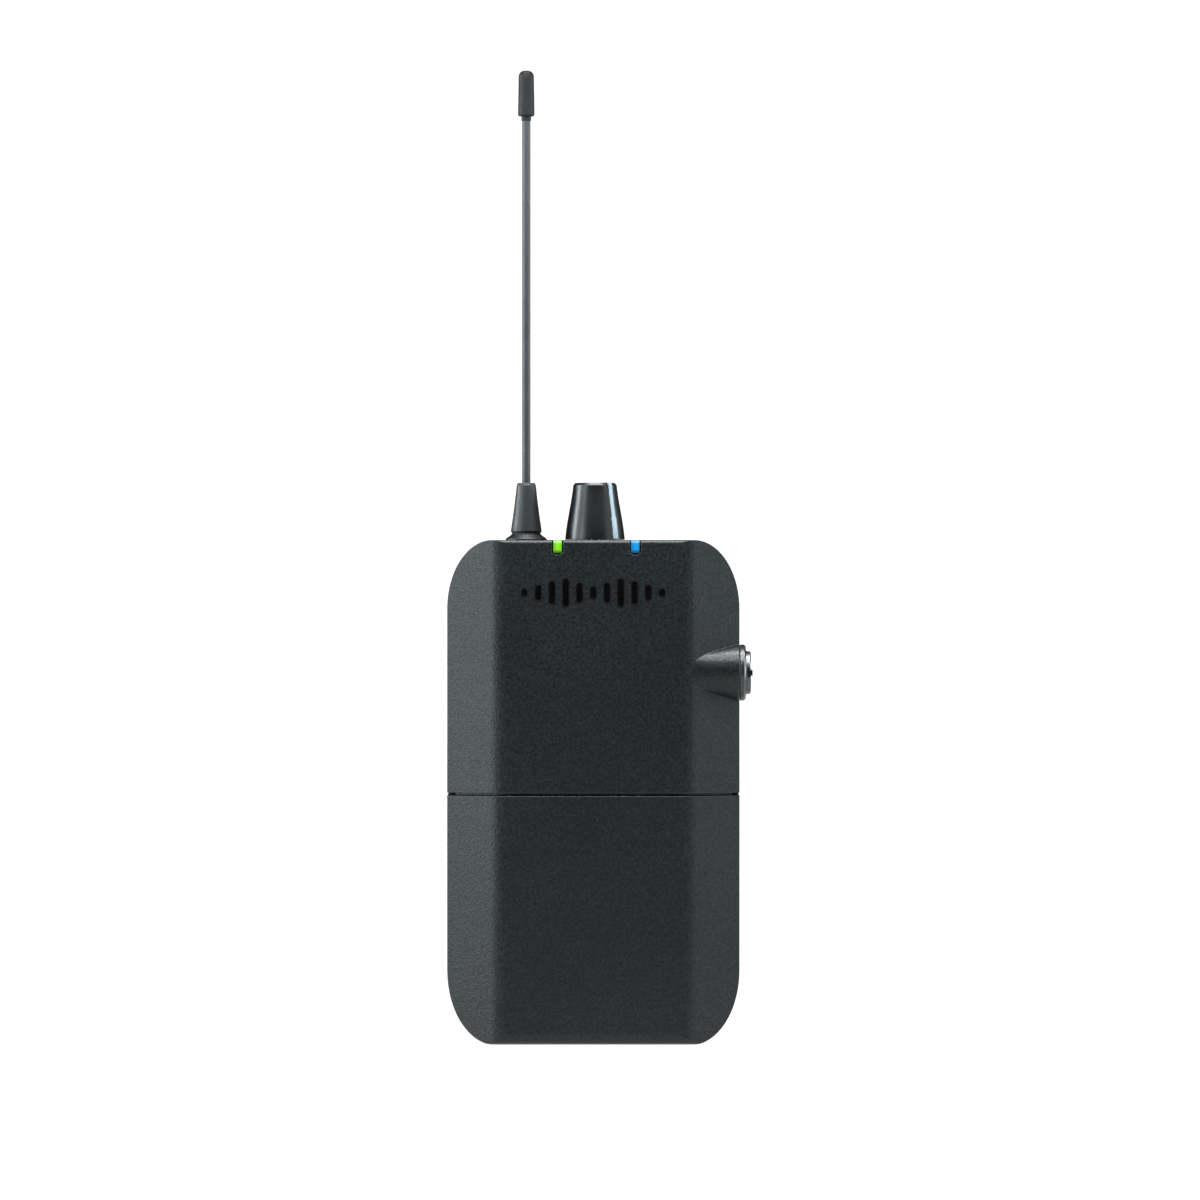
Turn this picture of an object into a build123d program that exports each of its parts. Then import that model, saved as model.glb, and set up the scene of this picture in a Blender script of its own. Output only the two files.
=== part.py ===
from build123d import *
import os
from math import cos, radians, sin

# Wireless bodypack: millimetres, +Z up, front towards -Y, right side towards +X.
# The origin is the middle of the flat bottom.

# Casing
WIDTH = 64.0
HEIGHT = 110.2
DEPTH = 21.0
WALL = 1.5
FRONT = -DEPTH / 2
BACK = DEPTH / 2
SIDE = WIDTH / 2
FRONT_FLAT = 20.5            # half width of the flat front face
BEVEL_BACK = -4.6            # where the front bevel meets the side
BEVEL_ROUND = 9.0
SIDE_ROUND = 3.0
REAR_ROUND = 4.5
BOTTOM_CORNER = (10.5, 16.0)  # half axes of the elliptical outline corners
TOP_CORNER = (10.0, 15.0)
EDGE_ROUND = 0.9

# Parting lines
DOOR_TOP = 54.3
SEAM = 0.65
FRONT_SHELL_BOTTOM = DOOR_TOP + SEAM
SHELL_PARTING = 5.0
PARTING_GAP = 0.1
DOOR_REAR = -2.0
DOOR_GAP = 0.2

# Battery door hinge
HINGE_Y = FRONT + 2.5
HINGE_Z = 2.5
HINGE_ROUND = 2.5
HINGE_CLEAR = 0.15
LUG_IN = 13.5
LUG_OUT = 20.5
LUG_RADIUS = 1.35
HINGE_PIN_RADIUS = 0.7
EAR_WIDTH = 1.7

# Cells and the bay that holds them
CELL_RADIUS = 7.1
CELL_X = 7.4
CELL_BOTTOM = 2.6
CELL_LENGTH = 50.0
NUB_LENGTH = 1.0
TRAY_WALL = 0.4
TRAY_SIDE = CELL_X + CELL_RADIUS + 0.25
PANEL_FRONT = -3.2
PANEL_BACK = -2.0
PANEL_OUT = 24.4
PANEL_X = 20.0               # middle of each side panel beside the cells

# Main board
BOARD_FRONT = 5.6
BOARD_BACK = 6.8
BOARD_BOTTOM = 57.0
BOARD_TOP = 107.6

# Top: volume knob and antenna
KNOB_X = 0.36
KNOB_BOTTOM = 110.35
KNOB_TOP = 122.8
SHAFT_RADIUS = 1.5
POINTER_ANGLE = -46.0        # from +X, seen from above
POINTER_SPLIT = 115.3
ANTENNA_X = -14.73
WHIP_RADIUS = 0.92
WHIP_TOP = 203.3
TIP_TOP = 213.35
BOOT_TOP = 122.8

# Status lights
LIGHT_X = {"power": -7.8, "signal": 9.16}
LIGHT_WIDTH = 1.85
LIGHT_BOTTOM = 107.4

# Headphone jack
JACK_Y = -4.1
JACK_Z = 81.2
BOSS_RADIUS = 6.25
BOSS_START = 20.0            # the boss fades into the front face here
BOSS_START_HEIGHT = 3.15
BOSS_START_DEPTH = 0.4
BOSS_END = 32.15
WASHER_END = 33.35
NUT_END = 34.45
KEY_END = 34.8              # keys of the bushing in the nut's slots
KEY_RADIUS = 4.6
BARREL_END = 34.5
BARREL_LENGTH = 14.0
BARREL_RADIUS = 3.0
THREAD_RADIUS = 3.78
THREAD_START = 30.7
HOUSING_END = 22.2
PLUG_RADIUS = 1.8

# Side latches on the door
LATCH_LOW = 38.0             # radii about the door hinge
LATCH_HIGH = 47.5
LATCH_REAR = 4.8
LATCH_CLEAR = 0.4
LATCH_THICK = 1.4

# Belt clip
CLIP_PIN_Y = 13.2
CLIP_PIN_Z = 92.0
CLIP_PIN_RADIUS = 0.95
CLIP_HALF = 9.0
CLIP_THICK = 0.8
CLIP_Y = 15.6                # middle of the sheet
CLIP_TOP = 102.5

# Case screws, as (x, z)
SCREW_PLACES = [(sx * x, z) for sx in (-1, 1) for x, z in ((26.0, 61.0), (24.0, 102.0))]

SIDES = (-1, 1)
FAR = 200.0


def block(x_span, y_span, z_span, mode=Mode.ADD):
    """A box between two limits on each axis, in the open part."""
    spans = (x_span, y_span, z_span)
    with Locations(tuple(sum(span) / 2 for span in spans)):
        return Box(*[span[1] - span[0] for span in spans], mode=mode)


def rod_x(x_span, y, z, radius, mode=Mode.ADD):
    """A cylinder along X."""
    with Locations((sum(x_span) / 2, y, z)):
        return Cylinder(radius, x_span[1] - x_span[0], rotation=(0, 90, 0), mode=mode)


def rod_y(x, y_span, z, radius, mode=Mode.ADD):
    """A cylinder along Y."""
    with Locations((x, sum(y_span) / 2, z)):
        return Cylinder(radius, y_span[1] - y_span[0], rotation=(90, 0, 0), mode=mode)


def rod_z(x, y, z_span, radius, mode=Mode.ADD):
    """A cylinder along Z."""
    with Locations((x, y, sum(z_span) / 2)):
        return Cylinder(radius, z_span[1] - z_span[0], mode=mode)


def spread(side, near, far):
    """Limits from near to far on one side of the middle plane."""
    return tuple(sorted((side * near, side * far)))


def coil(start, direction, length, wire, turns, radius):
    """A helical spring of round wire."""
    with BuildPart() as spring:
        with BuildLine() as path:
            Helix(length / turns, length, radius, center=start, direction=direction)
        with BuildSketch(Plane(origin=path.line @ 0, z_dir=path.line % 0)):
            Circle(wire)
        sweep(path=path.line)
    return spring.part


def save(builder, name):
    """Label a finished piece and write its STEP file."""
    builder.part.label = name
    export_step(builder.part, f"parts/{name}.step")


def envelope(inset):
    """The casing's outer form, or one set in by a wall: plan run up in Z, cut by the front outline."""
    with BuildPart() as form:
        with BuildSketch(Plane.XY):
            with BuildLine():
                Polyline(
                    (-FRONT_FLAT, FRONT),
                    (FRONT_FLAT, FRONT),
                    (SIDE, BEVEL_BACK),
                    (SIDE, BACK),
                    (-SIDE, BACK),
                    (-SIDE, BEVEL_BACK),
                    close=True,
                )
            face = make_face()
            corners = face.vertices().group_by(Axis.Y)
            fillet(corners[0], BEVEL_ROUND)
            fillet(corners[1], SIDE_ROUND)
            fillet(corners[2], REAR_ROUND)
            if inset:
                offset(amount=-inset, mode=Mode.REPLACE)
        extrude(amount=HEIGHT)
        low_x, low_z = BOTTOM_CORNER
        high_x, high_z = TOP_CORNER
        with BuildSketch(Plane.XZ):
            with BuildLine():
                Line((0, inset), (SIDE - low_x, inset))
                EllipticalCenterArc((SIDE - low_x, low_z), low_x - inset, low_z - inset, start_angle=270, arc_size=90)
                Line((SIDE - inset, low_z), (SIDE - inset, HEIGHT - high_z))
                EllipticalCenterArc((SIDE - high_x, HEIGHT - high_z), high_x - inset, high_z - inset, start_angle=0, arc_size=90)
                Line((SIDE - high_x, HEIGHT - inset), (0, HEIGHT - inset))
                Line((0, HEIGHT - inset), (0, inset))
            make_face()
            mirror(about=Plane.YZ)
        extrude(amount=DEPTH, both=True, mode=Mode.INTERSECT)
    return form.part


def rounded_edge(y, z, inward_y, inward_z):
    """What a round-over removes from an edge that runs along X."""
    with BuildPart() as waste:
        y_span = sorted((y - inward_y, y + inward_y * EDGE_ROUND))
        z_span = sorted((z - inward_z, z + inward_z * EDGE_ROUND))
        block((-SIDE, SIDE), y_span, z_span)
        rod_x((-FAR, FAR), y + inward_y * EDGE_ROUND, z + inward_z * EDGE_ROUND, EDGE_ROUND, Mode.SUBTRACT)
    return waste.part


os.makedirs("parts", exist_ok=True)

outer = envelope(0)
inner = envelope(WALL)
lining = envelope(WALL + 0.3)


# ---------------------------------------------------------------- upper casing
with BuildPart() as boss_rim:
    rod_x((BOSS_END - 0.8, BOSS_END), JACK_Y, JACK_Z, BOSS_RADIUS)
    chamfer(boss_rim.edges().filter_by(GeomType.CIRCLE).sort_by(Axis.X)[-1], 0.3)

with BuildPart() as jack_boss:
    with BuildSketch(Plane.YZ.offset(BOSS_START)):
        with Locations((FRONT + 0.6 + BOSS_START_DEPTH, JACK_Z)):
            Ellipse(BOSS_START_DEPTH, BOSS_START_HEIGHT)
    with BuildSketch(Plane.YZ.offset(BOSS_END - 0.8)):
        with Locations((JACK_Y, JACK_Z)):
            Circle(BOSS_RADIUS)
    loft()
    add(boss_rim.part)

with BuildPart() as front_shell:
    add(outer)
    add(inner, mode=Mode.SUBTRACT)
    for x, z in SCREW_PLACES:
        rod_y(x, (FRONT, SHELL_PARTING - PARTING_GAP), z, 2.3)
    add(outer, mode=Mode.INTERSECT)
    add(rounded_edge(FRONT, HEIGHT, 1, -1), mode=Mode.SUBTRACT)
    add(jack_boss.part)
    block((BOSS_START - 3, HOUSING_END + 0.3), (FRONT + 2.6, 0), (JACK_Z - 4.4, JACK_Z + 4.4), Mode.SUBTRACT)
    rod_x((BOSS_START, FAR), JACK_Y, JACK_Z, BARREL_RADIUS + 0.06, Mode.SUBTRACT)
    rod_x((THREAD_START - 0.1, FAR), JACK_Y, JACK_Z, THREAD_RADIUS + 0.06, Mode.SUBTRACT)
    block((-FAR, FAR), (-FAR, FAR), (-1, FRONT_SHELL_BOTTOM), Mode.SUBTRACT)
    block((-FAR, FAR), (SHELL_PARTING - PARTING_GAP, FAR), (0, FAR), Mode.SUBTRACT)
    for x, z in SCREW_PLACES:
        rod_y(x, (-4.0, FAR), z, 1.0, Mode.SUBTRACT)
    rod_z(KNOB_X, 0, (HEIGHT - 5, FAR), 3.4, Mode.SUBTRACT)
    rod_z(ANTENNA_X, 0, (HEIGHT - 5, FAR), 3.1, Mode.SUBTRACT)
    for x in LIGHT_X.values():
        half = LIGHT_WIDTH / 2 + 0.32
        block((x - half, x + half), (-FAR, -7.2), (LIGHT_BOTTOM - 0.1, FAR), Mode.SUBTRACT)
        rod_y(x, (-FAR, -7.2), LIGHT_BOTTOM + half - 0.5, half, Mode.SUBTRACT)
save(front_shell, "front_shell")


# ---------------------------------------------------------------- rear casing
with BuildPart() as rear_shell:
    add(outer)
    add(inner, mode=Mode.SUBTRACT)
    for x, z in SCREW_PLACES:
        rod_y(x, (BOARD_BACK, BACK - 0.5), z, 2.6)
    add(rounded_edge(BACK, HEIGHT, -1, -1), mode=Mode.SUBTRACT)
    add(rounded_edge(BACK, 0, -1, 1), mode=Mode.SUBTRACT)
    block((-FAR, FAR), (-FAR, SHELL_PARTING + PARTING_GAP), (DOOR_TOP, FAR), Mode.SUBTRACT)
    block((-FAR, FAR), (-FAR, DOOR_REAR + DOOR_GAP), (HINGE_Z - HINGE_CLEAR, FAR), Mode.SUBTRACT)
    block((-FAR, FAR), (-FAR, HINGE_Y), (-1, FAR), Mode.SUBTRACT)
    rod_x((-FAR, FAR), HINGE_Y, HINGE_Z, HINGE_ROUND + HINGE_CLEAR, Mode.SUBTRACT)
    for side in SIDES:
        lug = spread(side, LUG_IN, LUG_OUT)
        rod_x(lug, HINGE_Y, HINGE_Z, LUG_RADIUS)
        block(lug, (HINGE_Y, -4.4), (HINGE_Z + HINGE_CLEAR, HINGE_Z + LUG_RADIUS))
        block(lug, (-5.3, -4.4), (WALL - 0.2, HINGE_Z + LUG_RADIUS))
        ear = spread(side, 10.2, 12.4)
        rod_x(ear, CLIP_PIN_Y, CLIP_PIN_Z, 2.4)
        block(ear, (BACK - 0.5, CLIP_PIN_Y), (CLIP_PIN_Z - 3.4, CLIP_PIN_Z + 2.4))
    rod_x((-LUG_OUT, LUG_OUT), HINGE_Y, HINGE_Z, HINGE_PIN_RADIUS, Mode.SUBTRACT)
    rod_x((-13, 13), CLIP_PIN_Y, CLIP_PIN_Z, CLIP_PIN_RADIUS, Mode.SUBTRACT)
    for x, z in SCREW_PLACES:
        rod_y(x, (0, FAR), z, 1.2, Mode.SUBTRACT)
        rod_y(x, (BACK - 1.3, FAR), z, 2.1, Mode.SUBTRACT)
    with BuildSketch(Plane.YZ):
        with Locations((HINGE_Y, HINGE_Z)):
            Circle(LATCH_HIGH + LATCH_CLEAR)
            Circle(LATCH_LOW - LATCH_CLEAR, mode=Mode.SUBTRACT)
        with Locations(((DOOR_REAR + LATCH_REAR + 0.3) / 2, DOOR_TOP / 2 + 10)):
            Rectangle(LATCH_REAR + 0.3 - DOOR_REAR, DOOR_TOP, mode=Mode.INTERSECT)
    extrude(amount=FAR, both=True, mode=Mode.SUBTRACT)
save(rear_shell, "rear_shell")


# ---------------------------------------------------------------- battery door
with BuildPart() as door_zone:
    with BuildSketch(Plane.YZ):
        with Locations((FRONT, HINGE_Z)):
            Rectangle(DOOR_REAR - FRONT, HEIGHT, align=(Align.MIN, Align.MIN))
        with Locations((HINGE_Y, HINGE_Z)):
            Circle(HINGE_ROUND)
            Rectangle(FAR, 10, align=(Align.MIN, Align.MAX), mode=Mode.SUBTRACT)
    extrude(amount=SIDE, both=True)
    for side in SIDES:
        rod_x(spread(side, LUG_OUT + 2, SIDE), HINGE_Y, HINGE_Z, HINGE_ROUND)

with BuildPart() as battery_door:
    add(outer)
    add(inner, mode=Mode.SUBTRACT)
    block((-FAR, FAR), (-FAR, FAR), (DOOR_TOP, FAR), Mode.SUBTRACT)
    add(door_zone.part, mode=Mode.INTERSECT)
    for side in SIDES:
        rod_x(spread(side, LUG_IN - 0.3, LUG_OUT + 0.3), HINGE_Y, HINGE_Z, LUG_RADIUS + 0.25, Mode.SUBTRACT)
        for near in (LUG_IN - 0.3 - EAR_WIDTH, LUG_OUT + 0.3):
            ear = spread(side, near, near + EAR_WIDTH)
            rod_x(ear, HINGE_Y, HINGE_Z, LUG_RADIUS)
            block(ear, (HINGE_Y - 1.3, HINGE_Y), (HINGE_Z - 1.2, HINGE_Z + LUG_RADIUS))
            rod_x(ear, HINGE_Y, HINGE_Z, HINGE_PIN_RADIUS + 0.06, Mode.SUBTRACT)
        rib = spread(side, 25.6, 26.6)
        block(rib, (-6.9, 0.5), (41.0, 47.0))
        rod_x(rib, -0.9, 44.0, 0.58, Mode.SUBTRACT)
save(battery_door, "battery_door")

with BuildPart() as door_foam_pad:
    block((-11.5, 11.5), (FRONT + WALL, FRONT + WALL + 1.2), (16, 42))
    fillet(door_foam_pad.edges().filter_by(Axis.Y), 2.0)
save(door_foam_pad, "door_foam_pad")

with BuildPart() as door_hinge_pins:
    for side in SIDES:
        rod_x(spread(side, LUG_IN - 1.9, LUG_OUT + 1.9), HINGE_Y, HINGE_Z, HINGE_PIN_RADIUS)
save(door_hinge_pins, "door_hinge_pins")


# ---------------------------------------------------------------- side latches
def latch_tab(side):
    """Squeeze tab flush with the casing side, with a guide pin that runs in the door's rib."""
    with BuildPart() as tab:
        plate = Plane.YZ.offset(side * (SIDE - LATCH_THICK / 2))
        with BuildSketch(plate):
            with Locations((HINGE_Y, HINGE_Z)):
                Circle(LATCH_HIGH)
                Circle(LATCH_LOW, mode=Mode.SUBTRACT)
            with Locations((DOOR_REAR + 0.15, 0)):
                Rectangle(LATCH_REAR - DOOR_REAR - 0.15, HEIGHT, align=Align.MIN, mode=Mode.INTERSECT)
        extrude(amount=LATCH_THICK / 2, both=True)
        for step in range(4):
            z = 42.0 + 1.6 * step
            rod_y(side * (SIDE + 0.12), (-FAR, FAR), z, 0.4, Mode.SUBTRACT)
        block(spread(side, 29.0, SIDE - LATCH_THICK), (DOOR_REAR + 0.15, 0.6), (42.2, 45.8))
        rod_x(spread(side, 25.9, 29.1), -0.9, 44.0, 0.5)
    return tab


def latch_spring(side):
    """Three open turns round the guide pin, between the rib and the tab."""
    with BuildPart() as spring:
        add(coil((side * 26.87, -0.9, 44.0), (side, 0, 0), 1.86, 0.2, 3, 0.95))
    return spring


for side, word in ((-1, "left"), (1, "right")):
    save(latch_tab(side), f"latch_tab_{word}")
    save(latch_spring(side), f"latch_spring_{word}")


# ---------------------------------------------------------------- battery bay
with BuildPart() as battery_tray:
    add(lining)
    block((-FAR, FAR), (-FAR, FAR), (-1, DOOR_TOP + 0.12), Mode.SUBTRACT)
    block((-FAR, FAR), (-FAR, FAR), (56.0, FAR), Mode.SUBTRACT)
    block((-31.4, 31.4), (-1.4, SHELL_PARTING - 0.3), (DOOR_TOP + 0.12, FRONT_SHELL_BOTTOM - 0.12))
    for side in SIDES:
        block(spread(side, TRAY_SIDE, TRAY_SIDE + TRAY_WALL), (PANEL_BACK - 0.2, BACK - WALL), (4, 55))
        panel = spread(side, TRAY_SIDE, PANEL_OUT)
        block(panel, (PANEL_FRONT, PANEL_BACK), (4.5, 55))
    block((-TRAY_SIDE, TRAY_SIDE), (CELL_RADIUS + 0.7, BACK - WALL), (6, 55))
    for side in SIDES:
        rod_z(side * CELL_X, 0, (1.5, 52.7), CELL_RADIUS + 0.1, Mode.SUBTRACT)
    for z in (40.0, 30.0):
        rod_y(-PANEL_X, (-FAR, 0), z, 2.3, Mode.SUBTRACT)
    block((-PANEL_X - 1.2, -PANEL_X + 1.2), (-FAR, 0), (15.5, 20.5), Mode.SUBTRACT)
    block((PANEL_X - 3.7, PANEL_X + 3.7), (-FAR, 0), (30.8, 45.2), Mode.SUBTRACT)
    block((PANEL_X - 2.2, PANEL_X + 2.2), (-FAR, 0), (15.8, 20.2), Mode.SUBTRACT)
save(battery_tray, "battery_tray")


def cell(side, nub_up):
    """One AA cell standing in the bay, with its raised end up or down."""
    with BuildPart() as can:
        low = CELL_BOTTOM if nub_up else CELL_BOTTOM + NUB_LENGTH
        high = low + CELL_LENGTH - NUB_LENGTH
        rod_z(side * CELL_X, 0, (low, high), CELL_RADIUS)
        fillet(can.edges().filter_by(GeomType.CIRCLE), 0.5)
        rod_z(side * CELL_X, 0, (CELL_BOTTOM, CELL_BOTTOM + CELL_LENGTH), 2.7)
    return can


save(cell(-1, True), "battery_left")
save(cell(1, False), "battery_right")

with BuildPart() as bridge_contact:
    block((-12.5, 12.5), (-4, 4), (WALL, WALL + 0.35))
    fillet(bridge_contact.edges().filter_by(Axis.Z), 2.0)
    rod_z(CELL_X, 0, (WALL, CELL_BOTTOM - 0.05), 2.2)
save(bridge_contact, "bridge_contact")

with BuildPart() as contact_plates:
    for side in SIDES:
        x = side * CELL_X
        block((x - 4.5, x + 4.5), (-4.5, 4.5), (54.0, 54.35))
    rod_z(-CELL_X, 0, (CELL_BOTTOM + CELL_LENGTH + 0.05, 54.0), 1.6)
save(contact_plates, "contact_plates")

# A coil spring under the contact plate, and an arched leaf on the bridge.
with BuildPart() as contact_springs:
    add(coil((CELL_X, 0, 53.81), (0, 0, -1), 1.0, 0.18, 2, 3.4))
    with BuildSketch(Plane.XZ):
        with BuildLine():
            ThreePointArc((-CELL_X - 3, 1.97), (-CELL_X, 2.48), (-CELL_X + 3, 1.97))
        trace(line_width=0.2)
    extrude(amount=1.5, both=True)
save(contact_springs, "contact_springs")

with BuildPart() as control_boards:
    for side in SIDES:
        block(spread(side, TRAY_SIDE + TRAY_WALL + 0.1, PANEL_OUT), (3.0, 4.2), (6, 50))
save(control_boards, "control_boards")

with BuildPart() as tact_switches:
    for z in (40.0, 30.0):
        block((-PANEL_X - 2.3, -PANEL_X + 2.3), (0.6, 3.0), (z - 2.3, z + 2.3))
        rod_y(-PANEL_X, (-0.7, 0.6), z, 1.2)
save(tact_switches, "tact_switches")

with BuildPart() as mode_switch_body:
    block((-PANEL_X - 2.5, -PANEL_X + 2.5), (-0.9, 3.0), (12, 24))
save(mode_switch_body, "mode_switch_body")

for name, z in (("scan_button", 40.0), ("set_button", 30.0)):
    with BuildPart() as button:
        rod_y(-PANEL_X, (-4.6, -1.2), z, 2.05)
        fillet(button.edges().filter_by(GeomType.CIRCLE).sort_by(Axis.Y)[0], 0.4)
        rod_y(-PANEL_X, (-1.9, -1.2), z, 2.8)
    save(button, name)

with BuildPart() as mode_switch:
    block((-PANEL_X - 0.85, -PANEL_X + 0.85), (-4.4, -1.0), (15.9, 17.9))
    fillet(mode_switch.edges().filter_by(Axis.X).sort_by(Axis.Y)[0:2], 0.35)
    block((-PANEL_X - 2.0, -PANEL_X + 2.0), (-1.8, -1.0), (13.5, 20.0))
save(mode_switch, "mode_switch")

with BuildPart() as display_module:
    block((PANEL_X - 4.4, PANEL_X + 4.4), (-1.8, 3.0), (29, 47))
save(display_module, "display_module")

with BuildPart() as display_window:
    block((PANEL_X - 3.6, PANEL_X + 3.6), (-3.1, -1.85), (30.9, 45.1))
    chamfer(display_window.faces().sort_by(Axis.Y)[0].edges(), 0.2)
save(display_window, "display_window")

with BuildPart() as ir_window:
    block((PANEL_X - 2.1, PANEL_X + 2.1), (-3.1, -1.9), (15.9, 20.1))
    chamfer(ir_window.faces().sort_by(Axis.Y)[0].edges(), 0.2)
save(ir_window, "ir_window")


# ---------------------------------------------------------------- electronics
with BuildPart() as main_board:
    add(lining)
    block((-FAR, FAR), (-FAR, BOARD_FRONT), (-1, FAR), Mode.SUBTRACT)
    block((-FAR, FAR), (BOARD_BACK, FAR), (-1, FAR), Mode.SUBTRACT)
    block((-FAR, FAR), (0, FAR), (-1, BOARD_BOTTOM), Mode.SUBTRACT)
    block((-FAR, FAR), (0, FAR), (BOARD_TOP, FAR), Mode.SUBTRACT)
    for x, z in SCREW_PLACES:
        rod_y(x, (0, FAR), z, 1.4, Mode.SUBTRACT)
save(main_board, "main_board")

with BuildPart() as shield_can:
    block((-21, -3), (2.6, BOARD_FRONT), (64, 92))
    block((-20.7, -3.3), (2.9, BOARD_FRONT), (64.3, 91.7), Mode.SUBTRACT)
save(shield_can, "shield_can")

with BuildPart() as board_chips:
    for x, z, size in ((4, 66, 6.0), (12, 72, 4.4), (3, 78, 5.0), (2, 88, 3.6), (13, 62, 3.0)):
        block((x - size / 2, x + size / 2), (BOARD_FRONT - 1.2, BOARD_FRONT), (z - size / 2, z + size / 2))
save(board_chips, "board_chips")

with BuildPart() as board_connector:
    block((-11, 11), (BOARD_FRONT - 2.6, BOARD_FRONT), (57.2, 60.2))
save(board_connector, "board_connector")

with BuildPart() as led_chips:
    for x in LIGHT_X.values():
        block((x - 0.8, x + 0.8), (BOARD_FRONT - 0.7, BOARD_FRONT), (105.8, 107.4))
save(led_chips, "led_chips")

for word, x in LIGHT_X.items():
    with BuildPart() as light_pipe:
        half = LIGHT_WIDTH / 2
        block((x - half, x + half), (FRONT + 0.05, -7.5), (LIGHT_BOTTOM, HEIGHT - 0.05))
        fillet(light_pipe.edges().filter_by(Axis.X).group_by(Axis.Z)[-1].sort_by(Axis.Y)[0], EDGE_ROUND)
        block((x - 0.7, x + 0.7), (-8.6, BOARD_FRONT - 0.8), (106.0, 107.3))
        block((x - 0.7, x + 0.7), (-8.6, -7.5), (106.0, 108.0))
    save(light_pipe, f"{word}_light_pipe")

with BuildPart() as case_screws:
    for x, z in SCREW_PLACES:
        rod_y(x, (-3.6, BACK - 1.3), z, 0.95)
        rod_y(x, (BACK - 1.3, BACK - 0.25), z, 1.9)
        for turn in (0, 90):
            with Locations(Location((x, BACK - 0.25, z), (0, turn, 0))):
                Box(2.4, 1.0, 0.45, mode=Mode.SUBTRACT)
save(case_screws, "case_screws")


# ---------------------------------------------------------------- volume knob
def knob_form(grow):
    """The knob's turned outline, or one that stands out or in by a little."""
    with BuildPart() as form:
        with BuildSketch(Plane.XZ):
            with BuildLine():
                side_line = Spline(
                    (6.55 + grow, KNOB_BOTTOM),
                    (6.14 + grow, 113.8),
                    (5.23 + grow, 119.0),
                    (4.78 + grow, KNOB_TOP - 0.5 + grow),
                )
                rim = Line(side_line @ 1, (4.35 + grow, KNOB_TOP + grow))
                Line(rim @ 1, (0, KNOB_TOP + grow))
                Line((0, KNOB_TOP + grow), (0, KNOB_BOTTOM))
                Line((0, KNOB_BOTTOM), (6.55 + grow, KNOB_BOTTOM))
            make_face()
        revolve(axis=Axis.Z)
    return form.part.moved(Location((KNOB_X, 0, 0)))


POINTER_PLANE = Plane(
    origin=(KNOB_X, 0, 0),
    x_dir=(cos(radians(POINTER_ANGLE)), sin(radians(POINTER_ANGLE)), 0),
    z_dir=(0, 0, 1),
)

with BuildPart() as knob_pointer:
    with BuildSketch(POINTER_PLANE.offset(KNOB_BOTTOM + 0.2)):
        with Locations((2.2, 0)):
            Rectangle(6, 1.4, align=(Align.MIN, Align.CENTER))
    extrude(amount=POINTER_SPLIT - KNOB_BOTTOM - 0.2)
    with BuildSketch(POINTER_PLANE.offset(POINTER_SPLIT)):
        with Locations((2.2, 0)):
            Rectangle(6, 1.05, align=(Align.MIN, Align.CENTER))
    extrude(amount=10)
    add(knob_form(0.08), mode=Mode.INTERSECT)
    add(knob_form(-0.5), mode=Mode.SUBTRACT)
save(knob_pointer, "knob_pointer")

with BuildPart() as volume_knob:
    add(knob_form(0))
    rod_z(KNOB_X, 0, (KNOB_BOTTOM - 1, KNOB_BOTTOM + 1.2), 5.2, Mode.SUBTRACT)
    rod_z(KNOB_X, 0, (KNOB_BOTTOM, KNOB_BOTTOM + 1.2), 2.8)
    rod_z(KNOB_X, 0, (KNOB_BOTTOM - 1, 118.0), SHAFT_RADIUS, Mode.SUBTRACT)
    add(knob_pointer.part, mode=Mode.SUBTRACT)
save(volume_knob, "volume_knob")

with BuildPart() as pot_shaft:
    rod_z(KNOB_X, 0, (103.0, 118.0), SHAFT_RADIUS)
save(pot_shaft, "pot_shaft")

with BuildPart() as pot_body:
    block((KNOB_X - 6, KNOB_X + 6), (-5.5, 5.5), (99.0, 107.5))
    fillet(pot_body.edges().filter_by(Axis.Z), 1.0)
    rod_z(KNOB_X, 0, (107.5, HEIGHT - 0.2), 3.2)
    rod_z(KNOB_X, 0, (102.8, FAR), SHAFT_RADIUS + 0.08, Mode.SUBTRACT)
save(pot_body, "pot_body")


# ---------------------------------------------------------------- antenna
with BuildPart() as antenna_whip:
    rod_z(ANTENNA_X, 0, (104.5, WHIP_TOP + 6), WHIP_RADIUS)
save(antenna_whip, "antenna_whip")

with BuildPart() as antenna_tip:
    with BuildSketch(Plane.XZ):
        with BuildLine():
            Polyline(
                (0, WHIP_TOP - 1.0),
                (1.06, WHIP_TOP - 1.0),
                (1.06, WHIP_TOP),
                (1.6, WHIP_TOP),
                (1.82, WHIP_TOP + 0.3),
                (1.68, TIP_TOP - 1.3),
            )
            Spline((1.68, TIP_TOP - 1.3), (1.25, TIP_TOP - 0.35), (0, TIP_TOP), tangents=((-0.1, 1), (-1, 0)))
            Line((0, TIP_TOP), (0, WHIP_TOP - 1.0))
        make_face()
    revolve(axis=Axis.Z)
antenna_tip.part = antenna_tip.part.moved(Location((ANTENNA_X, 0, 0)))
with BuildPart() as antenna_tip_bored:
    add(antenna_tip.part)
    rod_z(ANTENNA_X, 0, (100, WHIP_TOP + 6), WHIP_RADIUS, Mode.SUBTRACT)
save(antenna_tip_bored, "antenna_tip")

with BuildPart() as boot_form:
    with BuildSketch(Plane.XZ):
        with BuildLine():
            Polyline((0, HEIGHT + 0.05), (4.55, HEIGHT + 0.05), (4.5, HEIGHT + 0.35))
            Spline((4.5, HEIGHT + 0.35), (3.75, HEIGHT + 0.9), (3.25, HEIGHT + 1.3), (3.1, HEIGHT + 1.5))
            Polyline((3.1, HEIGHT + 1.5), (3.41, 112.2))
            Spline((3.41, 112.2), (3.0, 115.0), (2.5, 118.8), (2.14, 122.2))
            Polyline((2.14, 122.2), (1.85, BOOT_TOP), (0, BOOT_TOP), (0, HEIGHT + 0.05))
        make_face()
    revolve(axis=Axis.Z)

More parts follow.
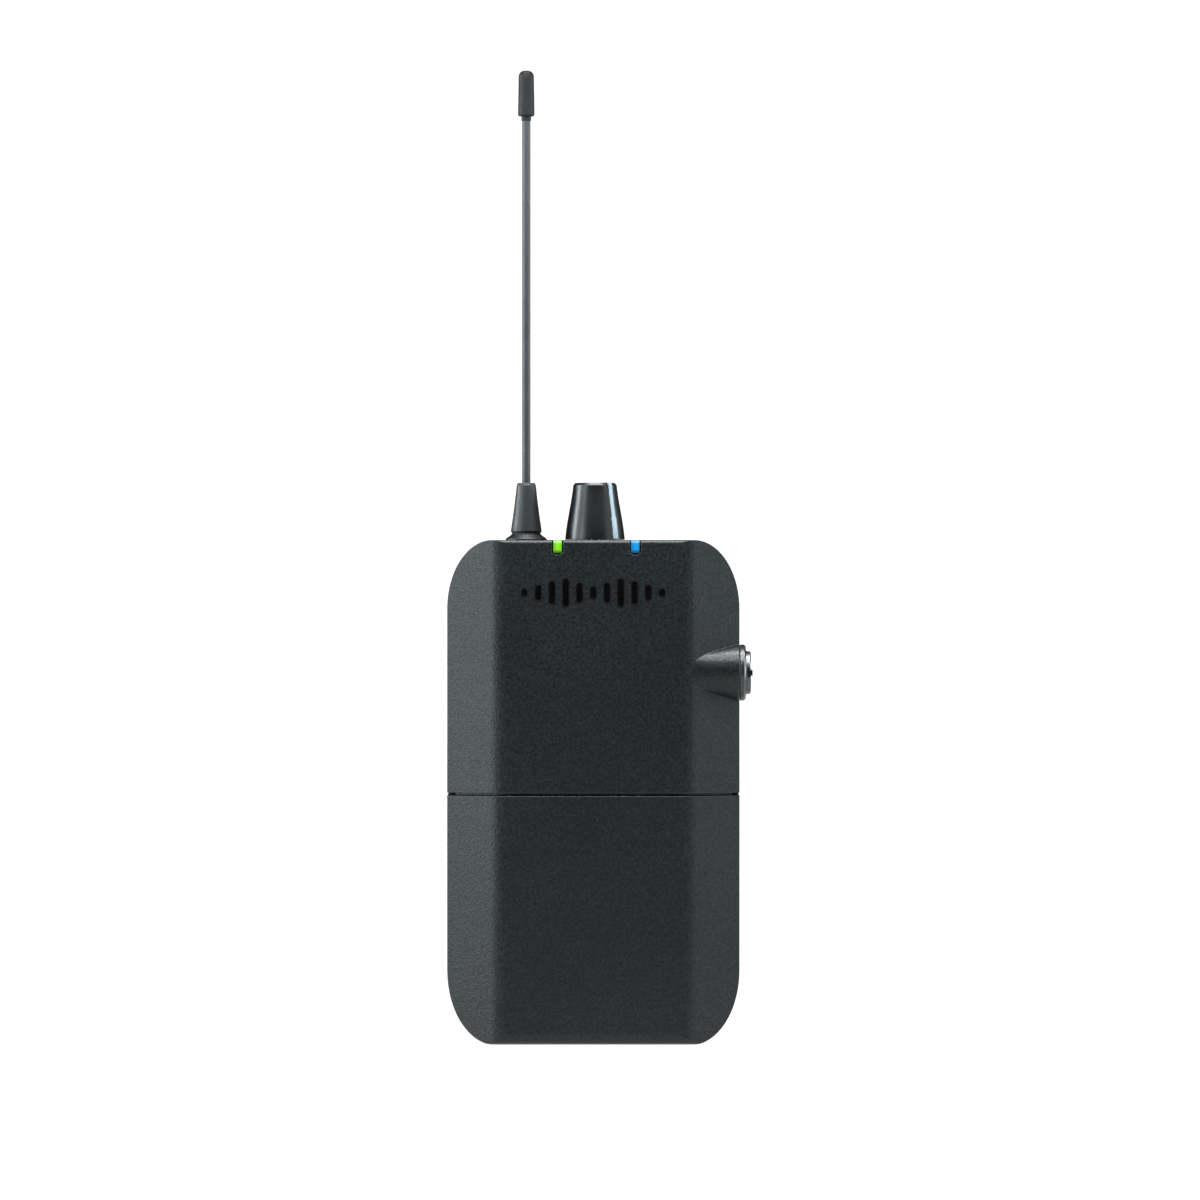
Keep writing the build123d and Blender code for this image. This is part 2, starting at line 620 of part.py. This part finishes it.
with BuildPart() as antenna_boot:
    add(boot_form.part.moved(Location((ANTENNA_X, 0, 0))))
    rod_z(ANTENNA_X, 0, (100, FAR), WHIP_RADIUS, Mode.SUBTRACT)
save(antenna_boot, "antenna_boot")

with BuildPart() as antenna_ferrule:
    rod_z(ANTENNA_X, 0, (103.0, HEIGHT), 2.95)
    rod_z(ANTENNA_X, 0, (107.0, HEIGHT - WALL - 0.05), 4.2)
    block((ANTENNA_X - 0.5, ANTENNA_X + 0.5), (2, BOARD_FRONT), (103.0, 104.0))
    rod_z(ANTENNA_X, 0, (104.5, FAR), WHIP_RADIUS, Mode.SUBTRACT)
save(antenna_ferrule, "antenna_ferrule")


# ---------------------------------------------------------------- headphone jack
with BuildPart() as jack_bushing:
    rod_x((BARREL_END - BARREL_LENGTH, BARREL_END), JACK_Y, JACK_Z, BARREL_RADIUS)
    rod_x((THREAD_START, BARREL_END), JACK_Y, JACK_Z, THREAD_RADIUS)
    chamfer(jack_bushing.edges().filter_by(GeomType.CIRCLE).sort_by(Axis.X)[-1], 0.25)
    for side in SIDES:
        key = sorted((JACK_Y + side * (THREAD_RADIUS - 0.4), JACK_Y + side * KEY_RADIUS))
        block((NUT_END - 0.7, KEY_END), key, (JACK_Z - 0.62, JACK_Z + 0.62))
    rod_x((0, FAR), JACK_Y, JACK_Z, PLUG_RADIUS, Mode.SUBTRACT)
save(jack_bushing, "jack_bushing")

with BuildPart() as jack_housing:
    block((13.9, HOUSING_END), (JACK_Y - 3.4, JACK_Y + 3.6), (JACK_Z - 4, JACK_Z + 4))
    rod_x((BARREL_END - BARREL_LENGTH, FAR), JACK_Y, JACK_Z, BARREL_RADIUS, Mode.SUBTRACT)
    rod_x((18.0, FAR), JACK_Y, JACK_Z, PLUG_RADIUS + 0.6, Mode.SUBTRACT)
save(jack_housing, "jack_housing")

with BuildPart() as jack_contacts:
    for step in (-1, 0, 1):
        rod_y(16.0, (JACK_Y + 3.6, BOARD_FRONT), JACK_Z + 2.6 * step, 0.45)
save(jack_contacts, "jack_contacts")

with BuildPart() as jack_washer:
    rod_x((BOSS_END, WASHER_END), JACK_Y, JACK_Z, 6.15)
    chamfer(jack_washer.edges().filter_by(GeomType.CIRCLE).sort_by(Axis.X)[-1], 0.35)
    rod_x((0, FAR), JACK_Y, JACK_Z, 3.8, Mode.SUBTRACT)
save(jack_washer, "jack_washer")

with BuildPart() as jack_nut:
    rod_x((WASHER_END, NUT_END), JACK_Y, JACK_Z, 4.76)
    chamfer(jack_nut.edges().filter_by(GeomType.CIRCLE).sort_by(Axis.X)[-1], 0.2)
    rod_x((0, FAR), JACK_Y, JACK_Z, 3.8, Mode.SUBTRACT)
    slot = (NUT_END - 0.75, FAR)
    block(slot, (-FAR, FAR), (JACK_Z - 0.95, JACK_Z + 0.95), Mode.SUBTRACT)
    block(slot, (JACK_Y - 0.95, JACK_Y + 0.95), (0, FAR), Mode.SUBTRACT)
save(jack_nut, "jack_nut")


# ---------------------------------------------------------------- belt clip
with BuildPart() as belt_clip:
    with BuildSketch(Plane.YZ):
        with BuildLine():
            FilletPolyline(
                (CLIP_Y - 0.9, CLIP_TOP),
                (CLIP_Y, CLIP_TOP - 6),
                (CLIP_Y, 46),
                (11.25, 36.5),
                (13.4, 31.5),
                radius=2.2,
            )
        trace(line_width=CLIP_THICK)
    extrude(amount=CLIP_HALF, both=True)
    for side in SIDES:
        cheek = spread(side, CLIP_HALF - CLIP_THICK, CLIP_HALF)
        rod_x(cheek, CLIP_PIN_Y, CLIP_PIN_Z, 1.9)
        block(cheek, (CLIP_PIN_Y, CLIP_Y), (CLIP_PIN_Z - 1.9, CLIP_PIN_Z + 1.9))
        block(cheek, (CLIP_Y - 1.3, CLIP_Y), (50, 95))
    rod_x((-CLIP_HALF, CLIP_HALF), CLIP_PIN_Y, CLIP_PIN_Z, CLIP_PIN_RADIUS + 0.06, Mode.SUBTRACT)
save(belt_clip, "belt_clip")

with BuildPart() as clip_pin:
    rod_x((-12.4, 12.4), CLIP_PIN_Y, CLIP_PIN_Z, CLIP_PIN_RADIUS)
save(clip_pin, "clip_pin")

with BuildPart() as clip_spring:
    add(coil((-4.07, CLIP_PIN_Y, CLIP_PIN_Z), (1, 0, 0), 8.14, 0.33, 11, 1.45))
save(clip_spring, "clip_spring")


# ---------------------------------------------------------------- labels and marks
with BuildPart() as rating_label:
    block((-13, 13), (BACK, BACK + 0.12), (9, 24))
    fillet(rating_label.edges().filter_by(Axis.Y), 1.5)
save(rating_label, "rating_label")

MARK_Z = 98.7
MARK_HEIGHTS = (2.0, 3.6, 5.2, 6.4, 4.6, 3.0, 4.6, 6.4, 5.2, 3.6, 2.0)
with BuildPart() as front_mark:
    pitch = 3.0
    first = -pitch * (len(MARK_HEIGHTS) - 1) / 2
    with BuildSketch(Plane.XZ.offset(-FRONT)):
        for number, tall in enumerate(MARK_HEIGHTS):
            with Locations((first + pitch * number, MARK_Z)):
                SlotOverall(tall, 1.6, rotation=90)
    extrude(amount=0.12)
save(front_mark, "front_mark")
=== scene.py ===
from math import radians

import bpy
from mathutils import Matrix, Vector


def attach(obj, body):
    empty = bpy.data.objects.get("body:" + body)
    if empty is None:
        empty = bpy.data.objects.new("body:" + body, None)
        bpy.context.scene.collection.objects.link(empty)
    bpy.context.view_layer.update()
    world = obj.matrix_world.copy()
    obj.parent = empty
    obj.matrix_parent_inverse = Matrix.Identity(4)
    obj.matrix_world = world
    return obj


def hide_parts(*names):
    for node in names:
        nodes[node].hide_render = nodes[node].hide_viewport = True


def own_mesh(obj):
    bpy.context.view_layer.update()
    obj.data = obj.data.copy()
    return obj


# Lengths are in metres, colours are linear RGB, and the scales of textures are repeats per metre.
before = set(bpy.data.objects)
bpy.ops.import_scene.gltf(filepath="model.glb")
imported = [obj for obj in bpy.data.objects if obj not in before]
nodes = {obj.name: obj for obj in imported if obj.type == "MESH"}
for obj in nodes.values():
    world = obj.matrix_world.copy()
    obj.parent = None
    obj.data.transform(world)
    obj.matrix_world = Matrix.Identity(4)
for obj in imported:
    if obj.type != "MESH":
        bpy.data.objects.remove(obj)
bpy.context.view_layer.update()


# ------------------------------------------------------------------ shader helpers
def shader(name, color, roughness, metallic=0.0, coat=0.0, specular=0.5):
    """A Principled material with its constant values on the shader's own sockets."""
    material = bpy.data.materials.new(name)
    material.use_nodes = True
    base = principled(material)
    base.inputs["Base Color"].default_value = (*color, 1.0)
    base.inputs["Roughness"].default_value = roughness
    base.inputs["Metallic"].default_value = metallic
    base.inputs["Coat Weight"].default_value = coat
    base.inputs["Specular IOR Level"].default_value = specular
    return material


def principled(material):
    """The material's one shader node."""
    return material.node_tree.nodes["Principled BSDF"]


def add_node(material, kind, **values):
    """A node with its sockets set by name."""
    node = material.node_tree.nodes.new(kind)
    for key, value in values.items():
        node.inputs[key.replace("_", " ")].default_value = value
    return node


def join(material, source, target):
    """A link from one node's output to another node's input."""
    material.node_tree.links.new(source, target)


def noise(material, scale, detail=4.0, rough=0.6):
    """Object-space noise, so the grain keeps its size on every piece."""
    place = add_node(material, "ShaderNodeTexCoord")
    texture = add_node(material, "ShaderNodeTexNoise", Scale=scale, Detail=detail, Roughness=rough)
    join(material, place.outputs["Object"], texture.inputs["Vector"])
    return texture.outputs["Fac"]


def remap(material, value, low, high, from_low=0.3, from_high=0.7):
    """A value moved from one range to another and held inside it. Noise spans 0.3 to 0.7."""
    node = add_node(
        material, "ShaderNodeMapRange", From_Min=from_low, From_Max=from_high, To_Min=low, To_Max=high
    )
    join(material, value, node.inputs["Value"])
    return node.outputs["Result"]


def mix(material, factor, first, second, blend="MIX"):
    """Two colours mixed. The factor and each colour is a constant or another node's output."""
    node = material.node_tree.nodes.new("ShaderNodeMix")
    node.data_type = "RGBA"
    node.blend_type = blend
    for name, value in (("Factor", factor), ("A", first), ("B", second)):
        if isinstance(value, bpy.types.NodeSocket):
            join(material, value, node.inputs[name])
        elif isinstance(value, tuple):
            node.inputs[name].default_value = (*value, 1.0)
        else:
            node.inputs[name].default_value = value
    return node.outputs["Result"]


def scaled_color(material, color, level):
    """A colour made darker or lighter by a value."""
    return mix(material, 1.0, color, level, "MULTIPLY")


def generated(material, axis):
    """How far along its own box a point of a piece lies, from 0 to 1."""
    place = add_node(material, "ShaderNodeTexCoord")
    parts = add_node(material, "ShaderNodeSeparateXYZ")
    join(material, place.outputs["Generated"], parts.inputs["Vector"])
    return parts.outputs[axis]


def shaded_along(material, color, axis, start, end, start_level, end_level):
    """A colour darkened along one axis, from one level to another between two fractions of the piece."""
    level = remap(material, generated(material, axis), start_level, end_level, start, end)
    return scaled_color(material, color, level)


# Paler edges: partly real wear, partly a painted highlight along the edges.
WEAR_AND_HIGHLIGHT_RADIUS = 0.0003          # how far in from a corner the wear and painted highlight reach
WEAR_AND_HIGHLIGHT_STARTS = 0.99            # cosine of the rounded normal's turn where wear and painted highlight begin
WEAR_AND_HIGHLIGHT_ENDS = 0.86              # and where it is strongest
WEAR_AND_HIGHLIGHT_LEVEL = 0.7              # share of the paler edge colour there, worn and painted as a highlight


def edge_mask(material):
    """0 on flat surfaces, rising at edges, from how far a rounded normal turns from the true one."""
    rounded = add_node(material, "ShaderNodeBevel", Radius=WEAR_AND_HIGHLIGHT_RADIUS)
    geometry = add_node(material, "ShaderNodeNewGeometry")
    dot = material.node_tree.nodes.new("ShaderNodeVectorMath")
    dot.operation = "DOT_PRODUCT"
    join(material, rounded.outputs["Normal"], dot.inputs[0])
    join(material, geometry.outputs["Normal"], dot.inputs[1])
    return remap(material, dot.outputs["Value"], 0.0, WEAR_AND_HIGHLIGHT_LEVEL, WEAR_AND_HIGHLIGHT_STARTS, WEAR_AND_HIGHLIGHT_ENDS)


def tint(material, first, second, scale, wear_and_highlight=None, speckle=None, painted_foot_shade=None):
    """Colour that drifts between two close values.

    wear_and_highlight is the paler colour of edges that are worn and also carry a painted highlight, speckle
    is the (scale, low, high) of a fine fleck, and painted_foot_shade is the (from, to, level) of a darker
    foot painted in as shade, as fractions of the piece's height.
    """
    drift = mix(material, remap(material, noise(material, scale), 0.0, 1.0), first, second)
    if speckle:
        size, low, high = speckle
        drift = scaled_color(material, drift, remap(material, noise(material, size, 1.0), low, high))
    # A darker foot painted in as shade, where the foot of the piece would lie in shadow.
    if painted_foot_shade:
        start, end, level = painted_foot_shade
        drift = shaded_along(material, drift, "Z", start, end, level, 1.0)
    # Paler edges, both worn and painted as a highlight along them.
    if wear_and_highlight:
        drift = mix(material, edge_mask(material), drift, wear_and_highlight)
    join(material, drift, principled(material).inputs["Base Color"])


def gloss_drift(material, low, high, scale):
    """Roughness that drifts between two values."""
    drift = remap(material, noise(material, scale), low, high)
    join(material, drift, principled(material).inputs["Roughness"])


def grain(material, scale, height, detail=3.0, strength=1.0, edge=0.0):
    """Surface relief of a height, with edges softened by a shading radius."""
    bump = add_node(material, "ShaderNodeBump", Strength=strength, Distance=height)
    join(material, noise(material, scale, detail), bump.inputs["Height"])
    if edge:
        soft = add_node(material, "ShaderNodeBevel", Radius=edge)
        join(material, soft.outputs["Normal"], bump.inputs["Normal"])
    join(material, bump.outputs["Normal"], principled(material).inputs["Normal"])


def times(level, color):
    """A constant colour made darker or lighter."""
    return tuple(level * part for part in color)


# ------------------------------------------------------------------ materials
def casing_material():
    """Charcoal moulding with a fine spark-eroded texture."""
    m = shader("casing_charcoal", (0.018, 0.021, 0.023), 0.42, specular=0.27)
    tint(m, (0.0062, 0.0082, 0.0092), (0.0085, 0.0110, 0.0122), 55.0, wear_and_highlight=(0.06, 0.067, 0.072),
         speckle=(1700.0, 0.45, 1.6))
    gloss_drift(m, 0.33, 0.40, 2600.0)
    grain(m, 1900.0, 0.00009, detail=1.0, strength=0.6, edge=0.00025)
    return m


def inner_material(name):
    """Plain black moulding, less glossy than the casing."""
    m = shader(name, (0.018, 0.019, 0.021), 0.5)
    tint(m, (0.014, 0.015, 0.017), (0.022, 0.023, 0.025), 80.0)
    gloss_drift(m, 0.42, 0.58, 900.0)
    grain(m, 2500.0, 0.00002, strength=0.4, edge=0.0002)
    return m


def knob_material():
    """Smooth satin black plastic, darker and glossier than the casing."""
    m = shader("knob_satin", (0.01, 0.011, 0.013), 0.38, specular=0.42)
    tint(m, (0.002, 0.0025, 0.003), (0.003, 0.004, 0.005), 120.0, wear_and_highlight=(0.03, 0.033, 0.036))
    gloss_drift(m, 0.31, 0.37, 700.0)
    grain(m, 900.0, 0.000004, strength=0.3, edge=0.0002)
    return m


def pointer_material():
    """Pale blue-grey plastic."""
    m = shader("pointer_grey", (0.20, 0.26, 0.30), 0.45, specular=0.3)
    tint(m, (0.17, 0.22, 0.26), (0.22, 0.28, 0.32), 300.0)
    gloss_drift(m, 0.3, 0.42, 900.0)
    grain(m, 2500.0, 0.00001, strength=0.4, edge=0.0001)
    return m


def mark_material():
    """Near-black gloss plastic, darker than the casing around it."""
    m = shader("mark_black", (0.002, 0.002, 0.002), 0.3, specular=0.05)
    # The mark's paler edges stand for a painted highlight outline.
    tint(m, (0.001, 0.001, 0.001), (0.002, 0.002, 0.002), 300.0, wear_and_highlight=(0.03, 0.032, 0.034))
    gloss_drift(m, 0.25, 0.35, 500.0)
    grain(m, 900.0, 0.000004, strength=0.3)
    return m


RUBBER_DARK = (0.018, 0.020, 0.022)
RUBBER_PALE = (0.028, 0.030, 0.033)
RUBBER_WEAR_AND_HIGHLIGHT = 2.2             # how much paler its edges are, from wear and a painted highlight


def rubber_material(name, level, specular=0.35, painted_foot_shade=None):
    """Dark rubber, where level scales how pale it is, and where a foot can be darkened as painted shade."""
    dark = times(level, RUBBER_DARK)
    pale = times(level, RUBBER_PALE)
    m = shader(name, dark, 0.45, specular=specular)
    tint(m, dark, pale, 150.0, wear_and_highlight=times(RUBBER_WEAR_AND_HIGHLIGHT, pale), painted_foot_shade=painted_foot_shade)
    gloss_drift(m, 0.42, 0.52, 900.0)
    grain(m, 2600.0, 0.00001, strength=0.4, edge=0.0002)
    return m


# Where a light pipe is dimmer: axis, from and to as fractions of its box, and the level at each of the two.
LAMP_SIDE_NEAR = ("X", 0.0, 0.45, 0.35, 1.0)
LAMP_SIDE_FAR = ("X", 0.7, 1.0, 1.0, 0.45)
LAMP_FOOT = ("Z", 0.40, 0.52, 0.03, 1.0)


def lamp_material(name, color, glow, strength):
    """A clear light pipe lit from behind, brighter in its core and dark at its foot."""
    m = shader(name, color, 0.3, specular=0.3)
    principled(m).inputs["Emission Strength"].default_value = strength
    shine = mix(m, remap(m, noise(m, 500.0), 0.0, 1.0), times(0.85, glow), glow)
    for shade in (LAMP_SIDE_NEAR, LAMP_SIDE_FAR, LAMP_FOOT):
        shine = shaded_along(m, shine, *shade)
    join(m, shine, principled(m).inputs["Emission Color"])
    grain(m, 1500.0, 0.00001, strength=0.3, edge=0.0002)
    return m


def window_material():
    """Smoked clear plastic, seen as a dark gloss."""
    m = shader("window_smoked", (0.01, 0.01, 0.012), 0.08, coat=0.6)
    tint(m, (0.006, 0.006, 0.008), (0.012, 0.012, 0.015), 200.0)
    gloss_drift(m, 0.05, 0.12, 400.0)
    grain(m, 600.0, 0.000004, strength=0.2)
    return m


def black_metal_material():
    """Blackened steel with brighter edges, worn and painted as a highlight."""
    m = shader("metal_black", (0.05, 0.052, 0.055), 0.34, metallic=0.85)
    tint(m, (0.035, 0.037, 0.04), (0.065, 0.067, 0.07), 90.0, wear_and_highlight=(0.35, 0.35, 0.36))
    gloss_drift(m, 0.28, 0.42, 1200.0)
    grain(m, 3000.0, 0.000012, strength=0.5, edge=0.0002)
    return m


METAL_GRAIN = 1500.0


def metal_material(name, color, rough):
    """Bare metal in a given colour."""
    m = shader(name, color, rough, metallic=1.0)
    tint(m, times(0.85, color), color, 200.0)
    gloss_drift(m, rough * 0.8, rough * 1.3, METAL_GRAIN)
    grain(m, METAL_GRAIN, 0.000006, strength=0.4)
    return m


def board_material():
    """Solder resist with lighter tracks."""
    m = shader("board_green", (0.012, 0.09, 0.035), 0.3, coat=0.4)
    place = add_node(m, "ShaderNodeTexCoord")
    tracks = add_node(
        m, "ShaderNodeTexBrick", Scale=260.0, Mortar_Size=0.03, Brick_Width=0.8, Row_Height=0.3,
        Color1=(0.012, 0.085, 0.032, 1), Color2=(0.010, 0.07, 0.027, 1), Mortar=(0.03, 0.16, 0.06, 1),
    )
    upright = add_node(m, "ShaderNodeMapping", Rotation=(radians(90), 0, 0))
    join(m, place.outputs["Object"], upright.inputs["Vector"])
    join(m, upright.outputs["Vector"], tracks.inputs["Vector"])
    join(m, tracks.outputs["Color"], principled(m).inputs["Base Color"])
    gloss_drift(m, 0.25, 0.38, 500.0)
    grain(m, 1200.0, 0.00001, strength=0.3)
    return m


DARK_PRINT = (0.022, 0.026, 0.034)
PALE_PRINT = (0.20, 0.21, 0.22)
BARE_STEEL = (0.55, 0.55, 0.56)
CELL_MIDDLE = 0.5             # heights on a cell are fractions of its own height
SLEEVE_HALF = 0.475           # how far the printed sleeve reaches each way from the middle
BAND_BLUR = 0.004             # half the width over which one printed colour becomes the other


def cell_material(name, band_edge, low_color, high_color):
    """Plain printed sleeve, one colour below a height and another above it, with bare steel at both ends."""
    m = shader(name, low_color, 0.3, metallic=0.4, specular=0.4)
    height = generated(m, "Z")
    band = remap(m, height, 0.0, 1.0, band_edge - BAND_BLUR, band_edge + BAND_BLUR)
    printed = mix(m, band, low_color, high_color)
    covered = add_node(m, "ShaderNodeMath")
    covered.operation = "COMPARE"
    covered.inputs[1].default_value = CELL_MIDDLE
    covered.inputs[2].default_value = SLEEVE_HALF
    join(m, height, covered.inputs[0])
    surface = mix(m, covered.outputs["Value"], BARE_STEEL, printed)
    join(m, surface, principled(m).inputs["Base Color"])
    gloss_drift(m, 0.26, 0.36, 500.0)
    grain(m, 250.0, 0.00001, strength=0.15)
    return m


def foam_material():
    """Open-cell grey foam."""
    m = shader("foam_grey", (0.035, 0.035, 0.037), 0.9)
    tint(m, (0.016, 0.016, 0.018), (0.04, 0.04, 0.042), 700.0)
    gloss_drift(m, 0.85, 0.95, 1500.0)
    grain(m, 900.0, 0.0002, strength=0.8)
    return m


def label_material():
    """Blank silver foil, with nothing printed on it."""
    m = shader("label_blank", (0.30, 0.31, 0.32), 0.4)
    tint(m, (0.27, 0.28, 0.29), (0.33, 0.34, 0.35), 200.0)
    gloss_drift(m, 0.34, 0.46, 700.0)
    grain(m, 1800.0, 0.00001, strength=0.4)
    return m


casing = casing_material()
moulding = inner_material("moulding_black")
knob_gloss = knob_material()
pointer = pointer_material()
mark = mark_material()
sleeve = rubber_material("antenna_sleeve", 1.1)
tip_rubber = rubber_material("tip_rubber", 0.35, specular=0.12)
# The boot's flare at its foot is darkened as painted shade.
boot_rubber = rubber_material("boot_rubber", 0.6, painted_foot_shade=(0.10, 0.14, 0.12))
green_lamp = lamp_material("lamp_green", (0.04, 0.16, 0.01), (0.28, 0.76, 0.015), 0.85)
blue_lamp = lamp_material("lamp_blue", (0.005, 0.06, 0.14), (0.004, 0.34, 0.78), 0.85)
smoked = window_material()
black_metal = black_metal_material()
nut_metal = metal_material("nut_gunmetal", (0.11, 0.115, 0.12), 0.38)
steel = metal_material("steel_bright", (0.56, 0.56, 0.57), 0.26)
gold = metal_material("contact_gold", (0.78, 0.57, 0.25), 0.24)
green_board = board_material()
chip_black = inner_material("chip_black")
cell_top_band = cell_material("cell_band_top", 0.76, DARK_PRINT, PALE_PRINT)
cell_low_band = cell_material("cell_band_low", 0.24, PALE_PRINT, DARK_PRINT)
foam = foam_material()
label_print = label_material()

# ------------------------------------------------------------------ finishes
FINISHES = {
    casing: ["front_shell", "rear_shell", "battery_door", "latch_tab_left", "latch_tab_right"],
    moulding: ["battery_tray", "scan_button", "set_button"],
    knob_gloss: ["volume_knob", "jack_bushing"],
    pointer: ["knob_pointer", "mode_switch", "led_chips"],
    mark: ["front_mark"],
    sleeve: ["antenna_whip"],
    tip_rubber: ["antenna_tip"],
    boot_rubber: ["antenna_boot"],
    green_lamp: ["power_light_pipe"],
    blue_lamp: ["signal_light_pipe"],
    smoked: ["display_window", "ir_window"],
    black_metal: ["case_screws", "jack_washer", "belt_clip"],
    nut_metal: ["jack_nut"],
    steel: [
        "door_hinge_pins", "latch_spring_left", "latch_spring_right", "bridge_contact", "contact_plates",
        "contact_springs", "shield_can", "pot_shaft", "clip_pin", "clip_spring",
    ],
    gold: ["antenna_ferrule", "jack_contacts"],
    green_board: ["control_boards", "main_board"],
    chip_black: [
        "tact_switches", "mode_switch_body", "display_module", "board_chips", "board_connector",
        "pot_body", "jack_housing",
    ],
    cell_top_band: ["battery_left"],
    cell_low_band: ["battery_right"],
    foam: ["door_foam_pad"],
    label_print: ["rating_label"],
}
CREASE_ANGLE = radians(28)    # faces that meet at more than this keep a sharp edge
LARGE_FACE_WEIGHT = 100       # smooth shading follows the large faces, which stay flat


def finish(piece, material):
    """The piece's one material, with smooth shading between its creases."""
    piece.data.materials.clear()
    piece.data.materials.append(material)
    crease = piece.modifiers.new("crease", "EDGE_SPLIT")
    crease.split_angle = CREASE_ANGLE
    flat = piece.modifiers.new("flat_faces", "WEIGHTED_NORMAL")
    flat.weight = LARGE_FACE_WEIGHT


for material, names in FINISHES.items():
    for name in names:
        finish(nodes[name], material)


def squeezed_coil(word):
    """The latch's coil, a copy of the piece that rides on the door in its place."""
    name = f"latch_spring_{word}"
    coil = bpy.data.objects.new(f"{name}_coil", nodes[name].data.copy())
    coil.matrix_world = nodes[name].matrix_world
    bpy.context.scene.collection.objects.link(coil)
    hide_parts(name)
    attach(coil, "door")
    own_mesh(coil)


squeezed_coil("left")
squeezed_coil("right")

# ------------------------------------------------------------------ stage
WHITE = (1, 1, 1)
FLOOR_FRONT = -0.42
FLOOR_WIDTH = 1.0
FLOOR_GREY = (0.1, 0.1, 0.1)
FLOOR_GLOW = 0.97
BACKDROP_Y = 3.0
BACKDROP_HEIGHT = 0.64
BACKDROP_GREY = (0.2, 0.2, 0.2)
BACKDROP_GLOW = 1.05
FLOOR_LENGTH = BACKDROP_Y - FLOOR_FRONT


def stage_plane(name, size, place, turn, color, glow):
    """A plain sheet for the floor or backdrop, lit from within."""
    bpy.ops.mesh.primitive_plane_add(size=1.0, location=place, rotation=turn)
    sheet = bpy.context.object
    sheet.name = name
    sheet.scale = (*size, 1.0)
    material = shader(name, color, 0.9, specular=0.1)
    principled(material).inputs["Emission Color"].default_value = (*WHITE, 1)
    principled(material).inputs["Emission Strength"].default_value = glow
    sheet.data.materials.append(material)


# The floor and the backdrop are only as large as the camera sees, so the casing's edges stay dark.
stage_plane(
    "floor", (FLOOR_WIDTH, FLOOR_LENGTH), (0, FLOOR_FRONT + FLOOR_LENGTH / 2, 0), (0, 0, 0),
    FLOOR_GREY, FLOOR_GLOW,
)
stage_plane(
    "backdrop", (FLOOR_WIDTH, BACKDROP_HEIGHT), (0, BACKDROP_Y, BACKDROP_HEIGHT / 2), (radians(90), 0, 0),
    BACKDROP_GREY, BACKDROP_GLOW,
)

# ------------------------------------------------------------------ light
CENTRE = (0, 0, 0.1)
ABOVE_CENTRE = (0, -0.01, 0.10)
COOL = (0.88, 0.97, 1.0)
PALE_COOL = (0.97, 0.98, 1.0)
ROOM_LEVEL = 0.04             # faint light from all around

LIGHTS = (                    # name, place, aim, size, power in watts, colour
    ("softbox_left", (-0.90, 0.04, 0.12), CENTRE, (0.22, 1.0), 19.0, COOL),
    ("softbox_right", (0.90, 0.04, 0.12), CENTRE, (0.22, 1.0), 12.0, COOL),
    ("strip_left", (-0.74, -0.52, 0.10), CENTRE, (0.20, 0.7), 5.2, COOL),
    ("strip_right", (0.74, -0.52, 0.10), CENTRE, (0.20, 0.7), 1.5, COOL),
    ("softbox_top", (0, -0.03, 0.95), CENTRE, (0.6, 0.16), 13.0, WHITE),
    ("strip_top", (0, -0.10, 0.26), ABOVE_CENTRE, (0.30, 0.04), 0.8, PALE_COOL),
)


def area_light(name, place, aim, size, power, color):
    """A rectangular softbox aimed at a point."""
    data = bpy.data.lights.new(name, "AREA")
    data.shape = "RECTANGLE"
    data.size, data.size_y = size
    data.energy = power
    data.color = color
    lamp = bpy.data.objects.new(name, data)
    lamp.location = place
    lamp.rotation_euler = (Vector(aim) - Vector(place)).to_track_quat("-Z", "Y").to_euler()
    bpy.context.scene.collection.objects.link(lamp)


for light in LIGHTS:
    area_light(*light)

world = bpy.data.worlds.new("soft_room")
world.use_nodes = True
background = world.node_tree.nodes["Background"]
background.inputs["Color"].default_value = (*WHITE, 1)
background.inputs["Strength"].default_value = ROOM_LEVEL
bpy.context.scene.world = world
bpy.context.scene.view_settings.view_transform = "Standard"

# ------------------------------------------------------------------ camera
CAMERA_DISTANCE = 1.5
CAMERA_X = 0.00146
CAMERA_Z = 0.0971
FRAME_WIDTH = 0.2635          # width seen at the middle of the casing
SENSOR_WIDTH = 36.0           # in millimetres, like the lens
CLIP_END = 50.0

camera_data = bpy.data.cameras.new("camera")
camera_data.sensor_width = SENSOR_WIDTH
camera_data.lens = SENSOR_WIDTH * CAMERA_DISTANCE / FRAME_WIDTH
camera_data.clip_end = CLIP_END
camera = bpy.data.objects.new("camera", camera_data)
camera.location = (CAMERA_X, -CAMERA_DISTANCE, CAMERA_Z)
camera.rotation_euler = (radians(90), 0, 0)
bpy.context.scene.collection.objects.link(camera)
bpy.context.scene.camera = camera
